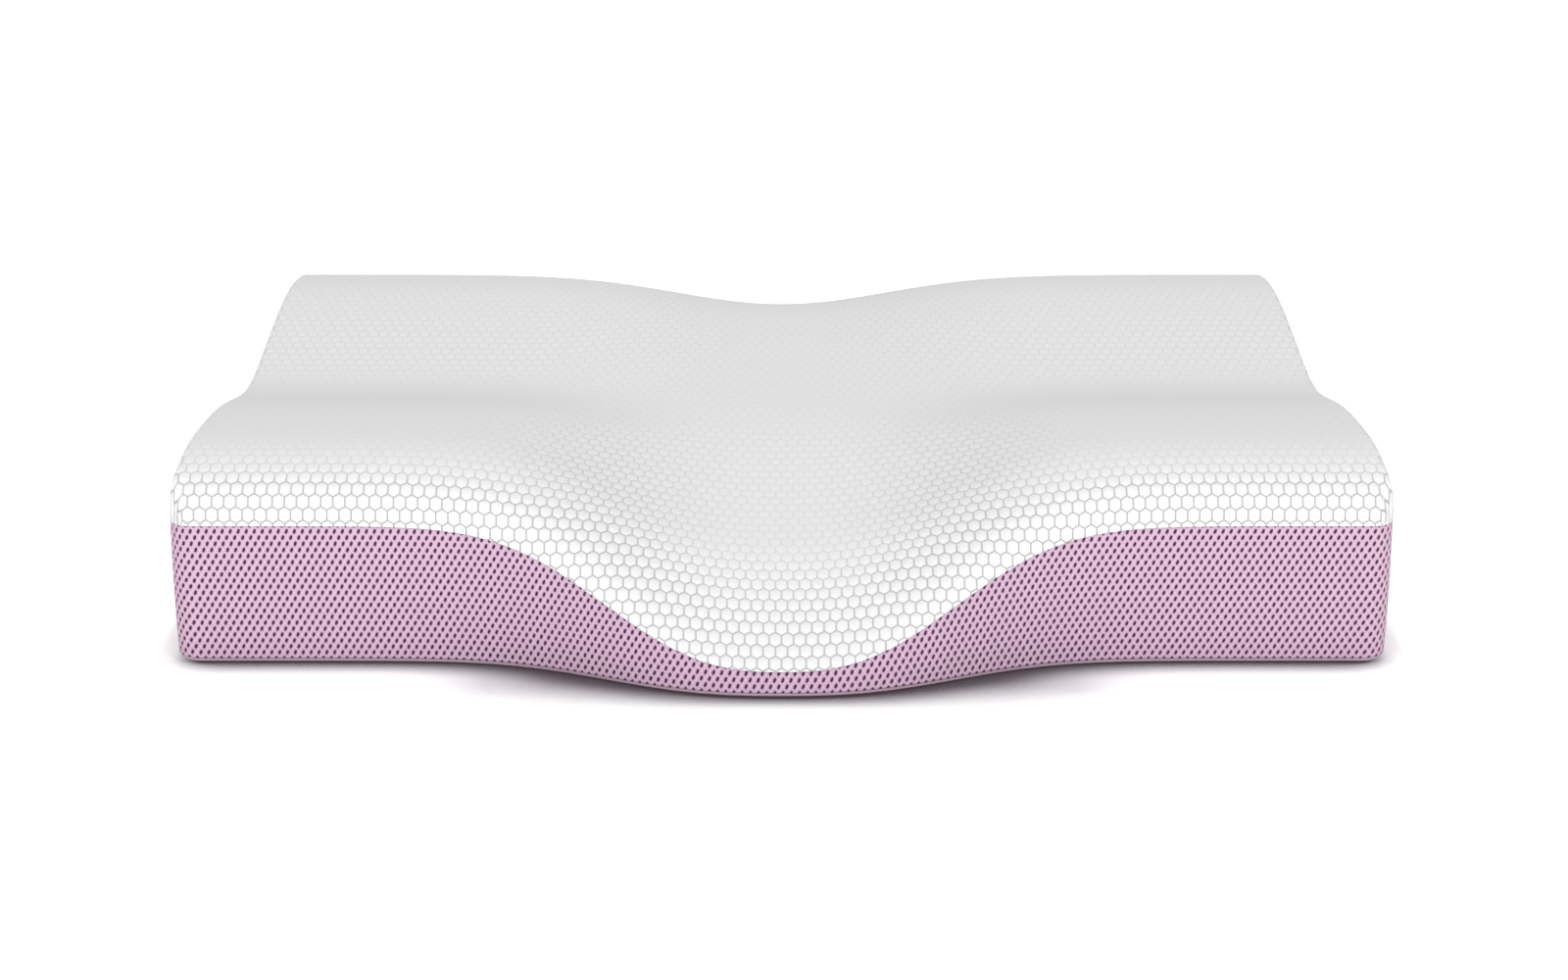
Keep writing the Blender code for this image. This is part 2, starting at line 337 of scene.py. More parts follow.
class Wall:
    """The walls under a seam: points at any height, set in from the outer face."""

    def __init__(self, seam):
        ahead = np.roll(seam, -1, axis=0) - np.roll(seam, 1, axis=0)
        outward = np.stack([ahead[:, 1], -ahead[:, 0]], axis=1)
        self.outward = outward / np.linalg.norm(outward, axis=1)[:, None]
        self.seam = seam
        closed = np.vstack([seam, seam[:1]])
        step = np.linalg.norm(np.diff(closed[:, :2], axis=0), axis=1)
        self.run = np.concatenate([[0], np.cumsum(step)])
        self.length = self.run[-1]

    def along(self, u):
        """Seam points and outward directions at distances round the wall."""
        u = np.mod(u, self.length)
        values = np.column_stack([self.seam, self.outward])
        values = np.vstack([values, values[:1]])
        read_at = np.column_stack([np.interp(u, self.run, column) for column in values.T])
        outward = read_at[:, 3:]
        return read_at[:, :3], outward / np.linalg.norm(outward, axis=1)[:, None]

    @staticmethod
    def place(seam, outward, z, inset):
        """Points at these heights: drawn in towards the seam, and turned under at the foot."""
        drawn = SEAM_DRAW * (z / seam[:, 2]) ** 2
        under = np.maximum(FOOT_RADIUS - z, 0)
        turned = FOOT_RADIUS - np.sqrt(FOOT_RADIUS**2 - under**2)
        reach = SEAM_DRAW - drawn - turned - inset
        return np.column_stack([seam[:, :2] + outward * reach[:, None], z])


# Geometry Nodes


def lattice_tree():
    """A tree that sets a tile in staggered rows and welds the tiles to one sheet."""
    tree = bpy.data.node_groups.new("Staggered rows", "GeometryNodeTree")
    face = tree.interface
    face.new_socket("Geometry", in_out="INPUT", socket_type="NodeSocketGeometry")
    face.new_socket("Tile", in_out="INPUT", socket_type="NodeSocketObject")
    face.new_socket("Columns", in_out="INPUT", socket_type="NodeSocketInt")
    face.new_socket("Rows", in_out="INPUT", socket_type="NodeSocketInt")
    face.new_socket("Column pitch", in_out="INPUT", socket_type="NodeSocketFloat")
    face.new_socket("Row pitch", in_out="INPUT", socket_type="NodeSocketFloat")
    face.new_socket("Weld distance", in_out="INPUT", socket_type="NodeSocketFloat")
    face.new_socket("Material", in_out="INPUT", socket_type="NodeSocketMaterial")
    face.new_socket("Geometry", in_out="OUTPUT", socket_type="NodeSocketGeometry")
    nodes, links = tree.nodes, tree.links
    given = nodes.new("NodeGroupInput")
    result = nodes.new("NodeGroupOutput")

    def math(operation, *values):
        return add_math(nodes, links, operation, *values)

    # Rows and columns of points, with point (0, 0) on the origin
    columns_less = math("SUBTRACT", given.outputs["Columns"], 1)
    rows_less = math("SUBTRACT", given.outputs["Rows"], 1)
    size_x = math("MULTIPLY", columns_less, given.outputs["Column pitch"])
    size_y = math("MULTIPLY", rows_less, given.outputs["Row pitch"])
    grid = nodes.new("GeometryNodeMeshGrid")
    links.new(size_x, grid.inputs["Size X"])
    links.new(size_y, grid.inputs["Size Y"])
    links.new(given.outputs["Columns"], grid.inputs["Vertices X"])
    links.new(given.outputs["Rows"], grid.inputs["Vertices Y"])

    # Every other row is moved by half a pitch
    position = nodes.new("GeometryNodeInputPosition")
    apart = nodes.new("ShaderNodeSeparateXYZ")
    links.new(position.outputs["Position"], apart.inputs[0])
    from_first = math("ADD", apart.outputs["Y"], math("DIVIDE", size_y, 2))
    row = math("ROUND", math("DIVIDE", from_first, given.outputs["Row pitch"]))
    odd = math("MODULO", row, 2)
    half = math("MULTIPLY", odd, math("DIVIDE", given.outputs["Column pitch"], 2))
    offset = nodes.new("ShaderNodeCombineXYZ")
    links.new(math("ADD", half, math("DIVIDE", size_x, 2)), offset.inputs["X"])
    links.new(math("DIVIDE", size_y, 2), offset.inputs["Y"])
    move = nodes.new("GeometryNodeSetPosition")
    links.new(grid.outputs["Mesh"], move.inputs["Geometry"])
    links.new(offset.outputs[0], move.inputs["Offset"])

    tile = nodes.new("GeometryNodeObjectInfo")
    links.new(given.outputs["Tile"], tile.inputs["Object"])
    instances = nodes.new("GeometryNodeInstanceOnPoints")
    links.new(move.outputs["Geometry"], instances.inputs["Points"])
    links.new(tile.outputs["Geometry"], instances.inputs["Instance"])
    realize = nodes.new("GeometryNodeRealizeInstances")
    links.new(instances.outputs["Instances"], realize.inputs["Geometry"])
    weld = nodes.new("GeometryNodeMergeByDistance")
    links.new(realize.outputs["Geometry"], weld.inputs["Geometry"])
    links.new(given.outputs["Weld distance"], weld.inputs["Distance"])
    finish = nodes.new("GeometryNodeSetMaterial")
    links.new(weld.outputs["Geometry"], finish.inputs["Geometry"])
    links.new(given.outputs["Material"], finish.inputs["Material"])
    links.new(finish.outputs["Geometry"], result.inputs["Geometry"])
    return tree


def six_sided(pitch, row_pitch, slant):
    """Corners of an upright six-sided cell of staggered rows, anticlockwise from its foot."""
    side = (row_pitch - slant) / 2
    tip = side + slant
    half = pitch / 2
    return np.array([(0, -tip), (half, -side), (half, side), (0, tip), (-half, side), (-half, -side)])


def tile_mesh(name, rings, centre):
    """A tile of rings of six points, joined inwards and closed at its centre."""
    points = np.vstack([*rings, centre])
    faces = []
    for ring in range(len(rings) - 1):
        for k in range(6):
            a, b = ring * 6 + k, ring * 6 + (k + 1) % 6
            faces.append((a, b, b + 6))
            faces.append((a, b + 6, a + 6))
    last = (len(rings) - 1) * 6
    for k in range(6):
        faces.append((last + k, last + (k + 1) % 6, len(points) - 1))
    mesh = bpy.data.meshes.new(name)
    mesh.from_pydata([tuple(p) for p in points], [], faces)
    tile = bpy.data.objects.new(name, mesh)
    bpy.context.scene.collection.objects.link(tile)
    return tile


def level(ring, z):
    """A flat ring's points at one height."""
    return np.column_stack([ring, np.full(len(ring), z)])


def honeycomb_tile():
    """One knitted cell: a groove round it, its raised rim and its crown."""
    groove = six_sided(CELL_PITCH, CELL_ROW_PITCH, CELL_SLANT)
    scale_x = 1 - GROOVE_WIDTH / (CELL_PITCH / 2)
    scale_y = 1 - GROOVE_WIDTH / ((CELL_ROW_PITCH + CELL_SLANT) / 2)
    rim = groove * (scale_x, scale_y)
    return tile_mesh("knit_tile", (level(groove, -GROOVE_DEPTH), level(rim, 0)), (0, 0, CELL_CROWN))


def hole_tile():
    """One hole of the open mesh: threads round a slanted oval pit."""
    threads = six_sided(HOLE_PITCH, HOLE_ROW_PITCH, HOLE_SLANT)
    turns = np.radians((-90, -30, 30, 90, 150, 210))
    oval = np.column_stack([np.cos(turns) * HOLE_WIDTH / 2, np.sin(turns) * HOLE_HEIGHT / 2])
    oval[:, 0] *= HOLE_SPREAD
    oval[:, 0] += HOLE_LEAN * np.sin(turns)
    return tile_mesh("hole_tile", (level(threads, 0), level(oval, -THREAD_ROUND)), (0, 0, -HOLE_DEPTH))


def flat_sheet(name, tree, tile, columns, rows, pitch, row_pitch, surface):
    """The tree's flat sheet as points and triangles."""
    holder = bpy.data.objects.new(name, bpy.data.meshes.new(name))
    bpy.context.scene.collection.objects.link(holder)
    modifier = holder.modifiers.new("Rows", "NODES")
    modifier.node_group = tree
    values = {
        "Tile": tile,
        "Columns": columns,
        "Rows": rows,
        "Column pitch": pitch,
        "Row pitch": row_pitch,
        "Weld distance": WELD,
        "Material": surface,
    }
    for socket in tree.interface.items_tree:
        if socket.item_type == "SOCKET" and socket.in_out == "INPUT" and socket.name in values:
            modifier[socket.identifier] = values[socket.name]
    bpy.context.view_layer.update()
    evaluated = holder.evaluated_get(bpy.context.evaluated_depsgraph_get())
    mesh = bpy.data.meshes.new_from_object(evaluated)
    holder.modifiers.remove(modifier)
    points = np.empty(len(mesh.vertices) * 3)
    mesh.vertices.foreach_get("co", points)
    corners = np.empty(len(mesh.loops), dtype=np.int64)
    mesh.loops.foreach_get("vertex_index", corners)
    bpy.data.objects.remove(holder)
    bpy.data.objects.remove(tile)
    bpy.data.meshes.remove(mesh)
    return points.reshape(-1, 3), corners.reshape(-1, 3)


# Laying sheets on the form


def to_bmesh(points, triangles):
    """A bmesh whose points remember their places in the arrays."""
    mesh = bmesh.new()
    source = mesh.verts.layers.int.new("source")
    made = []
    for k, point in enumerate(points.tolist()):
        vertex = mesh.verts.new(point)
        vertex[source] = k
        made.append(vertex)
    for a, b, c in triangles.tolist():
        mesh.faces.new((made[a], made[b], made[c]))
    return mesh


def from_bmesh(mesh):
    """The points, the triangles and each point's place in the arrays it was made from."""
    bmesh.ops.triangulate(mesh, faces=[face for face in mesh.faces if len(face.verts) > 3])
    source = mesh.verts.layers.int["source"]
    mesh.verts.index_update()
    points = np.array([vertex.co[:] for vertex in mesh.verts])
    places = np.array([vertex[source] for vertex in mesh.verts])
    triangles = np.array([[vertex.index for vertex in face.verts] for face in mesh.faces])
    mesh.free()
    return points, triangles, places


def cut(points, triangles, *planes):
    """Cuts off what lies beyond each plane, given as (axis, place, side)."""
    mesh = to_bmesh(points, triangles)
    for axis, place, side in planes:
        where, facing = [0.0] * 3, [0.0] * 3
        where[axis], facing[axis] = place, side
        bmesh.ops.bisect_plane(
            mesh,
            geom=mesh.verts[:] + mesh.edges[:] + mesh.faces[:],
            dist=CUT_SLACK,
            plane_co=where,
            plane_no=facing,
            clear_outer=True,
        )
    return from_bmesh(mesh)[:2]


def drop_flaps(triangles):
    """The triangles without those that hang on an edge which two others already share."""
    edges = np.stack([triangles, np.roll(triangles, -1, axis=1)], axis=2).reshape(-1, 2)
    _, places, counts = np.unique(np.sort(edges, axis=1), axis=0, return_inverse=True, return_counts=True)
    uses = counts[places].reshape(-1, 3)
    hanging = (uses > 2).any(axis=1) & (uses == 1).any(axis=1)
    return triangles[~hanging]


def weld(points, triangles, distance):
    """Points nearer than the distance made one, and the slivers that this leaves dropped."""
    mesh = to_bmesh(points, triangles)
    bmesh.ops.remove_doubles(mesh, verts=mesh.verts[:], dist=distance)
    loose = [vertex for vertex in mesh.verts if not vertex.link_faces]
    bmesh.ops.delete(mesh, geom=loose, context="VERTS")
    points, triangles, places = from_bmesh(mesh)
    return points, drop_flaps(triangles), places


def border_loops(triangles):
    """Simple loops of the edges that only one triangle has, the longest loop first."""
    edges = np.vstack([triangles[:, [0, 1]], triangles[:, [1, 2]], triangles[:, [2, 0]]]).tolist()
    forward = {(a, b) for a, b in edges}
    following = {}
    for a, b in forward:
        if (b, a) not in forward:
            following.setdefault(a, []).append(b)
    loops = []
    while following:
        walk = [next(iter(following))]
        places = {walk[0]: 0}
        while walk:
            here = walk[-1]
            if here not in following:
                break
            onward = following[here].pop()
            if not following[here]:
                del following[here]
            if onward in places:
                start = places[onward]
                loops.append(walk[start:])
                for point in walk[start + 1 :]:
                    del places[point]
                del walk[start + 1 :]
            else:
                places[onward] = len(walk)
                walk.append(onward)
    return sorted(loops, key=len, reverse=True)


def close_small(triangles, loops, kept):
    """Closes the small loops where slivers fell out, and returns the triangles and kept loops."""
    filled = [(loop[0], loop[k + 1], loop[k]) for loop in loops[kept:] for k in range(1, len(loop) - 1)]
    if filled:
        triangles = np.vstack([triangles, filled])
    return triangles, loops[:kept]


def make_piece(name, points, faces, surfaces, indices=None, uv=None, values=None):
    """A smooth-shaded object from points and faces, with its UV map and point attributes."""
    mesh = bpy.data.meshes.new(name)
    mesh.from_pydata(points.tolist(), [], faces)
    for surface in surfaces:
        mesh.materials.append(surface)
    if indices is not None:
        mesh.polygons.foreach_set("material_index", indices)
    mesh.shade_smooth()
    if uv is not None:
        corners = np.empty(len(mesh.loops), dtype=np.int64)
        mesh.loops.foreach_get("vertex_index", corners)
        layer = mesh.uv_layers.new(name="cloth")
        layer.uv.foreach_set("vector", uv[corners].astype(np.float32).ravel())
    for key, value in (values or {}).items():
        mesh.attributes.new(key, "FLOAT", "POINT").data.foreach_set("value", value.astype(np.float32))
    mesh.update()
    piece = bpy.data.objects.new(name, mesh)
    bpy.context.scene.collection.objects.link(piece)
    return piece


def strip(upper, lower):
    """Quads between two rings of equal length."""
    count = len(upper)
    return [
        (upper[k], lower[k], lower[(k + 1) % count], upper[(k + 1) % count]) for k in range(count)
    ]


def knit_cushion(form, wall, tree, knit, lining):
    """The cushion: honeycomb knit laid over the form, closed by a ledge, set-in walls and floor."""
    flat, triangles = flat_sheet(
        "knit_flat", tree, honeycomb_tile(), CELL_COLUMNS, CELL_ROWS, CELL_PITCH, CELL_ROW_PITCH, knit
    )
    middle_column = CELL_COLUMNS // 2
    u = flat[:, 0] - middle_column * CELL_PITCH
    v = flat[:, 1] - FRONT_ROWS * CELL_ROW_PITCH + FIRST_ROW
    i, j = form.find(u, v)
    last_i, last_j = form.points.shape[0] - 1.0, form.points.shape[1] - 1.0
    placed = np.column_stack([i, j, flat[:, 2] * PLACE_SCALE])
    near = ((i > -CARRY_ON) & (i < last_i + CARRY_ON) & (j > -CARRY_ON) & (j < last_j + CARRY_ON))
    triangles = triangles[near[triangles].all(axis=1)]
    sides = (0, 0.0, -1), (0, last_i, 1), (1, 0.0, -1), (1, last_j, 1)
    placed, triangles = cut(placed, triangles, *sides)
    i = np.clip(placed[:, 0], 0, last_i)
    j = np.clip(placed[:, 1], 0, last_j)
    relief = placed[:, 2] / PLACE_SCALE
    groove = np.clip(-relief / GROOVE_DEPTH, 0, 1)
    on_seam = (i < SEAM_NEAR) | (i > last_i - SEAM_NEAR) | (j < SEAM_NEAR) | (j > last_j - SEAM_NEAR)
    cloth = np.column_stack([read(form.across, i, j), read(form.along, i, j)])
    normals = read(form.normals, i, j)
    # How much the cells stand out, in relief and in the painted shade of their grooves
    tilt = np.clip((1 - normals[:, 2]) / RELIEF_TILT, 0, 1)
    clarity = RELIEF_LEAST + (1 - RELIEF_LEAST) * tilt
    # How upright the cloth stands, which darkens the painted shade in the grooves
    upright = np.clip((1 - normals[:, 2] - RELIEF_TILT) / (1 - RELIEF_TILT), 0, 1)
    relief = np.where(on_seam, 0.0, relief * clarity)
    points = read(form.points, i, j) + normals * relief[:, None]
    points, triangles, places = weld(points, triangles, WELD)
    cloth, groove, clarity = cloth[places], groove[places], clarity[places]
    upright = upright[places]
    triangles, loops = close_small(triangles, border_loops(triangles), 1)
    rim = loops[0]
    seam = points[rim]
    nearest = np.array([np.argmin(((wall.seam[:, :2] - p[:2]) ** 2).sum(axis=1)) for p in seam])
    outward = wall.outward[nearest]
    foot = BASE_THICKNESS + GAP
    inset = BAND_THICKNESS + GAP
    faces = [tuple(t) for t in triangles.tolist()]
    knit_faces = len(faces)
    above = rim
    for share in (1.0, 0.5, 0.0):
        ring = Wall.place(seam, outward, foot + (seam[:, 2] - foot) * share, inset)
        below = list(range(len(points), len(points) + len(ring)))
        points = np.vstack([points, ring])
        faces += strip(above, below)
        above = below
    centre = len(points)
    points = np.vstack([points, points[above].mean(axis=0)])
    faces += [(centre, after, before) for before, after in zip(above, np.roll(above, -1).tolist())]
    added = len(points) - len(groove)
    cloth = np.vstack([cloth, np.zeros((added, 2))])
    groove = np.concatenate([groove, np.zeros(added)])
    clarity = np.concatenate([clarity, np.zeros(added)])
    upright = np.concatenate([upright, np.zeros(added)])
    indices = np.ones(len(faces), dtype=np.int32)
    indices[:knit_faces] = 0
    return make_piece(
        "knit_cushion",
        points,
        faces,
        (knit, lining),
        indices,
        cloth,
        {"groove": groove, "clarity": clarity, "upright": upright},
    )


def mesh_band(wall, tree, surface):
    """The side band: rows of slanted holes round the wall, cut off by the seam and the base."""
    columns = round(wall.length / HOLE_PITCH)
    pitch = wall.length / columns
    top_z = wall.seam[:, 2].max()
    rows = int(top_z / HOLE_ROW_PITCH) + SPARE_ROWS
    flat, triangles = flat_sheet(
        "band_flat", tree, hole_tile(), columns, rows, pitch, HOLE_ROW_PITCH, surface
    )
    foot = BASE_THICKNESS + GAP
    u = flat[:, 0]
    z = flat[:, 1] + foot
    top = wall.along(u)[0][:, 2] - GAP
    placed = np.column_stack([u, z - top, flat[:, 2]]) * PLACE_SCALE
    placed, triangles = cut(placed, triangles, (1, 0.0, 1))
    placed = placed / PLACE_SCALE
    placed[:, 1] += wall.along(placed[:, 0])[0][:, 2] - GAP
    placed, triangles = cut(placed * PLACE_SCALE, triangles, (1, foot * PLACE_SCALE, -1))
    u, height, relief = placed.T / PLACE_SCALE
    seam, outward = wall.along(u)
    top = seam[:, 2] - GAP
    pit = np.clip((-relief - THREAD_ROUND) / (HOLE_DEPTH - THREAD_ROUND), 0, 1)
    on_edge = (height > top - CUT_SLACK) | (height < foot + CUT_SLACK)
    relief = np.where(on_edge, 0.0, relief)
    share = height / top_z
    cloth = np.column_stack([u, height - foot])
    points = Wall.place(seam, outward, height, 0.0)
    points[:, :2] += outward * relief[:, None]
    points, triangles, places = weld(points, triangles, WELD)
    cloth, pit, share, outward = cloth[places], pit[places], share[places], outward[places]
    triangles, loops = close_small(triangles, border_loops(triangles), 2)
    faces = [tuple(t) for t in triangles.tolist()]
    for loop in loops:
        ledge = points[loop].copy()
        ledge[:, :2] -= outward[loop] * BAND_THICKNESS
        below = list(range(len(points), len(points) + len(ledge)))
        points = np.vstack([points, ledge])
        cloth = np.vstack([cloth, cloth[loop]])
        pit = np.concatenate([pit, np.zeros(len(loop))])
        share = np.concatenate([share, share[loop]])
        outward = np.vstack([outward, outward[loop]])
        faces += strip(loop, below)
    return make_piece(
        "mesh_band", points, faces, (surface,), None, cloth, {"pit": pit, "height": share}
    )


# Materials


def add_math(nodes, links, operation, *values, clamp=False):
    node = nodes.new("ShaderNodeMath")
    node.operation = operation
    node.use_clamp = clamp
    for socket, value in zip(node.inputs, values):
        if isinstance(value, (int, float)):
            socket.default_value = value
        else:
            links.new(value, socket)
    return node.outputs[0]


def stitch_group():
    """Rows of tiny knitted stitches as a height, with an uneven cloudiness of the yarn."""
    group = bpy.data.node_groups.new("Fine stitches", "ShaderNodeTree")
    face = group.interface
    face.new_socket("Vector", in_out="INPUT", socket_type="NodeSocketVector")
    face.new_socket("Stitch width", in_out="INPUT", socket_type="NodeSocketFloat")
    face.new_socket("Unevenness", in_out="INPUT", socket_type="NodeSocketFloat")
    face.new_socket("Height", in_out="OUTPUT", socket_type="NodeSocketFloat")
    face.new_socket("Cloud", in_out="OUTPUT", socket_type="NodeSocketFloat")
    nodes, links = group.nodes, group.links
    given = nodes.new("NodeGroupInput")
    result = nodes.new("NodeGroupOutput")
    scale = add_math(nodes, links, "DIVIDE", 2 * np.pi, given.outputs["Stitch width"])
    apart = nodes.new("ShaderNodeSeparateXYZ")
    links.new(given.outputs["Vector"], apart.inputs[0])
    across = add_math(nodes, links, "MULTIPLY", apart.outputs["X"], scale)
    along = add_math(nodes, links, "MULTIPLY", apart.outputs["Y"], scale)
    wave_x = add_math(nodes, links, "SINE", across)
    wave_y = add_math(nodes, links, "SINE", add_math(nodes, links, "ADD", along, across))
    loops = add_math(nodes, links, "MULTIPLY", wave_x, wave_y)
    noise = nodes.new("ShaderNodeTexNoise")
    noise.inputs["Detail"].default_value = 3.0
    links.new(given.outputs["Vector"], noise.inputs["Vector"])
    noise_scale = add_math(nodes, links, "DIVIDE", 0.35, given.outputs["Stitch width"])
    links.new(noise_scale, noise.inputs["Scale"])
    uneven = add_math(nodes, links, "MULTIPLY", noise.outputs[0], given.outputs["Unevenness"])
    links.new(add_math(nodes, links, "ADD", loops, uneven), result.inputs["Height"])
    links.new(noise.outputs[0], result.inputs["Cloud"])
    return group


def start_material(name, roughness, sheen, sheen_roughness, sheen_tint):
    made = bpy.data.materials.new(name)
    made.use_nodes = True
    shader = made.node_tree.nodes["Principled BSDF"]
    shader.inputs["Roughness"].default_value = roughness
    shader.inputs["Specular IOR Level"].default_value = 0.15
    shader.inputs["Sheen Weight"].default_value = sheen
    shader.inputs["Sheen Roughness"].default_value = sheen_roughness
    shader.inputs["Sheen Tint"].default_value = (*sheen_tint, 1.0)
    return made, made.node_tree.nodes, made.node_tree.links, shader


def add_group(nodes, group, **values):
    node = nodes.new("ShaderNodeGroup")
    node.node_tree = group
    for key, value in values.items():
        node.inputs[key.replace("_", " ")].default_value = value
    return node


def add_attribute(nodes, name):
    node = nodes.new("ShaderNodeAttribute")
    node.attribute_name = name
    return node.outputs["Fac"]


def add_ramp(nodes, links, value, low, high):
    """0 below low, 1 above high, and a smooth way between."""
    node = nodes.new("ShaderNodeMapRange")
    node.interpolation_type = "SMOOTHSTEP"
    node.inputs["From Min"].default_value = low
    node.inputs["From Max"].default_value = high
    links.new(value, node.inputs["Value"])
    return node.outputs["Result"]


def add_mix(nodes, links, share, first, second):
    """A mix of two colours, each a colour or another node's socket."""
    node = nodes.new("ShaderNodeMix")
    node.data_type = "RGBA"
    links.new(share, node.inputs["Factor"])
    colours = [socket for socket in node.inputs if socket.type == "RGBA"]
    for socket, value in zip(colours, (first, second)):
        if isinstance(value, tuple):
            socket.default_value = (*value, 1.0)
        else:
            links.new(value, socket)
    return [socket for socket in node.outputs if socket.type == "RGBA"][0]


def add_bump(nodes, links, height, distance, strength):
    node = nodes.new("ShaderNodeBump")
    node.inputs["Strength"].default_value = strength
    node.inputs["Distance"].default_value = distance
    links.new(height, node.inputs["Height"])
    return node.outputs["Normal"]


def add_uv(nodes):
    node = nodes.new("ShaderNodeUVMap")
    node.uv_map = "cloth"
    return node.outputs["UV"]


def knit_material(stitches):
    """White honeycomb knit: round white cells, and pale grey painted shade in the grooves, darker where
    the cloth stands upright.
    """
    made, nodes, links, shader = start_material("white knit", 0.9, 0.15, 0.4, (1.0, 1.0, 1.0))
    fine = add_group(nodes, stitches, Stitch_width=KNIT_STITCH, Unevenness=1.2)
    links.new(add_uv(nodes), fine.inputs["Vector"])
    # Painted shade in the grooves, fading on level ground and darker on upright cloth
    line = add_ramp(nodes, links, add_attribute(nodes, "groove"), 0.12, 0.88)
    groove = add_math(nodes, links, "MULTIPLY", line, add_attribute(nodes, "clarity"))
    cloudy = add_mix(nodes, links, fine.outputs["Cloud"], CELL_LOW, CELL_HIGH)
    upright = add_attribute(nodes, "upright")
    groove_shade_colour = add_mix(nodes, links, upright, GROOVE_SHADE_LEVEL, GROOVE_SHADE_UPRIGHT)
    colour = add_mix(nodes, links, groove, cloudy, groove_shade_colour)
    links.new(colour, shader.inputs["Base Color"])
    links.new(add_bump(nodes, links, fine.outputs["Height"], 0.00008, 0.5), shader.inputs["Normal"])
    return made


def mesh_material(stitches):
    """Pink open mesh: dark pits of painted shade in a net of painted highlight along the threads,
    clearest where they rise to the right, with painted shade towards its foot.
    """
    made, nodes, links, shader = start_material("pink mesh", 0.75, 0.25, 0.35, (1.0, 0.93, 0.97))
    uv = add_uv(nodes)
    fine = add_group(nodes, stitches, Stitch_width=MESH_STITCH, Unevenness=1.0)
    links.new(uv, fine.inputs["Vector"])
    apart = nodes.new("ShaderNodeSeparateXYZ")
    links.new(uv, apart.inputs[0])
    across = add_math(nodes, links, "DIVIDE", apart.outputs["X"], HOLE_PITCH)
    up = add_math(nodes, links, "DIVIDE", apart.outputs["Y"], 2 * HOLE_ROW_PITCH)
    shares = []
    for slope, share in (("SUBTRACT", RISING_HIGHLIGHT_SHARE), ("ADD", FALLING_HIGHLIGHT_SHARE)):
        phase = add_math(nodes, links, "FRACT", add_math(nodes, links, slope, across, up))
        aside = add_math(nodes, links, "ABSOLUTE", add_math(nodes, links, "SUBTRACT", phase, 0.5))
        clear = add_ramp(nodes, links, aside, THREAD_MIDDLE, THREAD_SIDE)
        on_thread = add_math(nodes, links, "SUBTRACT", 1.0, clear)
        shares.append(add_math(nodes, links, "MULTIPLY", on_thread, share))
    # Painted highlight along the threads, a net that is clearest where they rise to the right
    thread = add_math(nodes, links, "ADD", *shares)
    # Darker towards the foot: painted shade near the floor
    height = add_attribute(nodes, "height")
    low = add_mix(nodes, links, height, MESH_SHADED_FOOT, MESH_HEAD)
    pink = add_mix(nodes, links, thread, low, THREAD_HIGHLIGHT)
    # Painted shade in the pits
    pit = add_ramp(nodes, links, add_attribute(nodes, "pit"), 0.0, 0.18)
    colour = add_mix(nodes, links, pit, pink, PIT_SHADE_COLOUR)
    links.new(colour, shader.inputs["Base Color"])
    links.new(add_bump(nodes, links, fine.outputs["Height"], 0.00006, 0.5), shader.inputs["Normal"])
    return made


def plain_material(name, stitches, dark, light, stitch):
    """Plain cloth with fine stitches, its pattern on Object coordinates."""
    made, nodes, links, shader = start_material(name, 0.85, 0.1, 0.4, (1.0, 0.95, 0.98))
    place = nodes.new("ShaderNodeTexCoord")
    fine = add_group(nodes, stitches, Stitch_width=stitch, Unevenness=1.0)
    links.new(place.outputs["Object"], fine.inputs["Vector"])
    links.new(add_mix(nodes, links, fine.outputs["Cloud"], dark, light), shader.inputs["Base Color"])
    links.new(add_bump(nodes, links, fine.outputs["Height"], 0.00008, 0.6), shader.inputs["Normal"])
    return made


# Stage


def add_open_sky(nodes, links, distance, low, high):
    """1 where nothing stands within the distance, falling to 0 in the contact shadow."""
    near = nodes.new("ShaderNodeAmbientOcclusion")
    near.inputs["Distance"].default_value = distance
    near.samples = SHADOW_SAMPLES
    return add_ramp(nodes, links, near.outputs["AO"], low, high)


def add_stage():
    """A pale floor that darkens where the pillow stands on it."""
    floor_mesh = bpy.data.meshes.new("floor")
    reach = FLOOR_REACH
    corners = [(-reach, -reach, 0), (reach, -reach, 0), (reach, reach, 0), (-reach, reach, 0)]
    floor_mesh.from_pydata(corners, [], [(0, 1, 2, 3)])
    made = bpy.data.materials.new("floor")
    made.use_nodes = True
    shader = made.node_tree.nodes["Principled BSDF"]
    nodes, links = made.node_tree.nodes, made.node_tree.links
    place = nodes.new("ShaderNodeTexCoord")
    apart = nodes.new("ShaderNodeSeparateXYZ")
    links.new(place.outputs["Object"], apart.inputs[0])
    from_middle = add_math(nodes, links, "ABSOLUTE", apart.outputs["X"])
    beside_bow = add_ramp(nodes, links, from_middle, BOW_NEAR, BOW_FAR)
    past_ends = add_ramp(nodes, links, from_middle, ENDS_NEAR, ENDS_FAR)
    past_ends = add_math(nodes, links, "MULTIPLY", past_ends, ENDS_SHARE)
    close = add_open_sky(nodes, links, CLOSE_SHADOW, 0.45, 0.97)
    close = add_math(nodes, links, "MAXIMUM", close, past_ends)
    wide = add_open_sky(nodes, links, BOW_SHADOW, 0.50, 0.98)
    wide = add_math(nodes, links, "MAXIMUM", wide, beside_bow)
    open_sky = add_math(nodes, links, "MULTIPLY", close, wide)
    colour = add_mix(nodes, links, open_sky, SHADOW_COLOUR, FLOOR_COLOUR)
    links.new(colour, shader.inputs["Base Color"])
    links.new(colour, shader.inputs["Emission Color"])
    shader.inputs["Roughness"].default_value = 1.0
    shader.inputs["Specular IOR Level"].default_value = 0.0
    shader.inputs["Emission Strength"].default_value = FLOOR_GLOW
    floor_mesh.materials.append(made)
    floor = bpy.data.objects.new("floor", floor_mesh)
    bpy.context.scene.collection.objects.link(floor)


